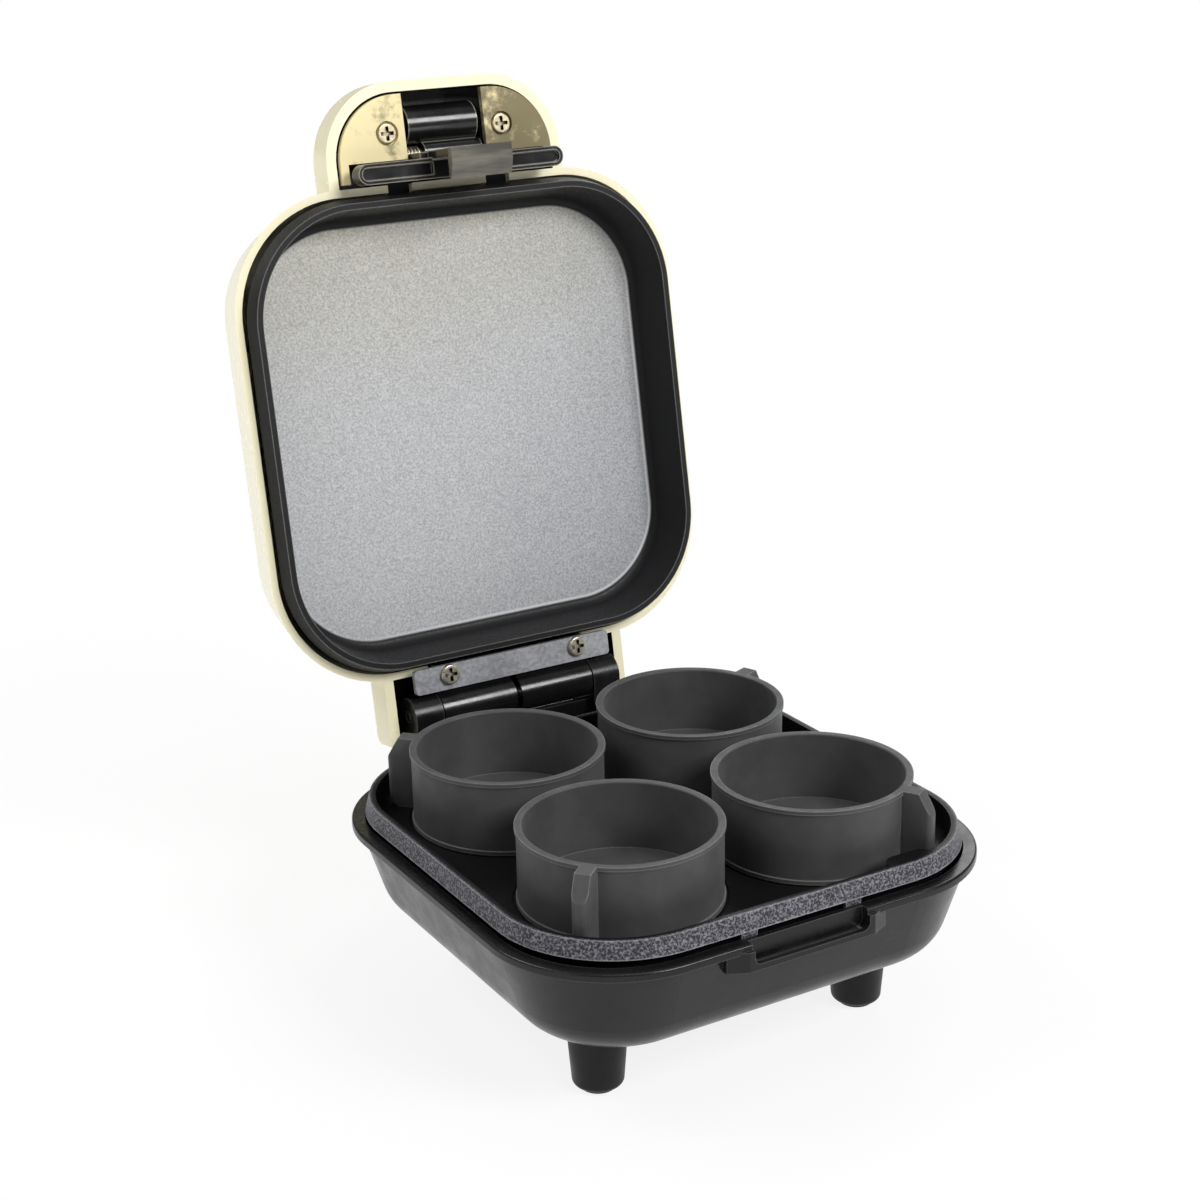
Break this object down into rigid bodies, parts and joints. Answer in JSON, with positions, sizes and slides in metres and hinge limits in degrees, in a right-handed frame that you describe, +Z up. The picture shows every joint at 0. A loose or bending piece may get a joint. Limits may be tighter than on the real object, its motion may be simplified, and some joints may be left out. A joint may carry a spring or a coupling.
{
  "type": "egg bite maker",
  "caption": "Countertop egg bite cooker with a hinged lid, sprung latch, shallow cooking pans and loose silicone cups, standing open on tapered feet.",
  "frame": {"origin": "on the table under the middle of the whole part's box, with the lid open as stored", "axes": "+Z up from the table, -Y to the front where the latch closes, +X to the right seen from the front"},
  "size_m": [0.1592, 0.2414, 0.2673],
  "materials": {
    "housing_black": "glossy moulded black",
    "pad_rubber": "matt rubber",
    "pan_coating": "cast, under a fine-grained non-stick coating",
    "cup_silicone": "matt silicone",
    "shell_cream": "glossy off-white",
    "cover_grey": "satin warm grey",
    "latch_black": "glossy black",
    "hinge_steel": "brushed light grey",
    "screw_steel": "zinc-plated",
    "heater_steel": "oxidised steel tube",
    "ceramic_white": "unglazed ceramic",
    "reflector_steel": "bright coated sheet",
    "carrier_black": "sheet with a matt black coat",
    "thermostat_shell": "pressed cap on a dark body",
    "gland_rubber": "matt rubber",
    "lead_sleeve": "woven-look glass sleeve, plain",
    "lens_amber": "clear amber",
    "lamp_glass": "clear glass"
  },
  "bodies": {
    "base": {"base_housing": "housing_black", "lower_pan": "pan_coating", "lower_heater": "heater_steel", "lower_heater_terminals": "ceramic_white", "lower_reflector": "reflector_steel", "thermostat": "thermostat_shell", "thermal_fuse": "screw_steel", "terminal_block": "ceramic_white", "cord_gland": "gland_rubber", "lower_pan_screws": "screw_steel", "hinge_pin": "screw_steel", "foot_front_left": "housing_black", "foot_front_right": "housing_black", "foot_back_left": "housing_black", "foot_back_right": "housing_black", "foot_pad_front_left": "pad_rubber", "foot_pad_front_right": "pad_rubber", "foot_pad_back_left": "pad_rubber", "foot_pad_back_right": "pad_rubber", "lead_to_thermostat": "lead_sleeve", "lead_thermostat_to_heater": "lead_sleeve", "lead_block_to_heater": "lead_sleeve"},
    "lid": {"lid_shell": "shell_cream", "upper_pan": "pan_coating", "upper_heater": "heater_steel", "upper_heater_terminals": "ceramic_white", "lid_carrier": "carrier_black", "upper_pan_screws": "screw_steel", "hinge_knuckles": "latch_black", "hinge_plate": "hinge_steel", "hinge_screws": "screw_steel", "handle_cover": "cover_grey", "handle_screws": "screw_steel", "latch_pin": "screw_steel", "latch_spring": "screw_steel", "indicator_lens": "lens_amber", "indicator_lamp": "lamp_glass"},
    "latch": {"latch_lever": "latch_black"},
    "cup_front_left_body": {"cup_front_left": "cup_silicone"},
    "cup_front_right_body": {"cup_front_right": "cup_silicone"},
    "cup_back_left_body": {"cup_back_left": "cup_silicone"},
    "cup_back_right_body": {"cup_back_right": "cup_silicone"}
  },
  "joints": [
    {"name": "lid_hinge", "type": "hinge", "parent": "base", "child": "lid", "pos_m": [0, 0.05193, 0.0676], "axis": [-1, 0, 0], "range_deg": [-100, 0]},
    {"name": "latch_pivot", "type": "hinge", "parent": "lid", "child": "latch", "pos_m": [0, 0.08847, 0.24373], "axis": [-1, 0, 0], "range_deg": [0, 14], "stiffness_Nm_per_rad": 0.05, "springref_deg": -20.05},
    {"name": "cup_front_left_lift", "type": "slide", "parent": "base", "child": "cup_front_left_body", "axis": [0, 0, 1], "range_m": [0, 0.04]},
    {"name": "cup_front_right_lift", "type": "slide", "parent": "base", "child": "cup_front_right_body", "axis": [0, 0, 1], "range_m": [0, 0.04]},
    {"name": "cup_back_left_lift", "type": "slide", "parent": "base", "child": "cup_back_left_body", "axis": [0, 0, 1], "range_m": [0, 0.04]},
    {"name": "cup_back_right_lift", "type": "slide", "parent": "base", "child": "cup_back_right_body", "axis": [0, 0, 1], "range_m": [0, 0.04]}
  ]
}
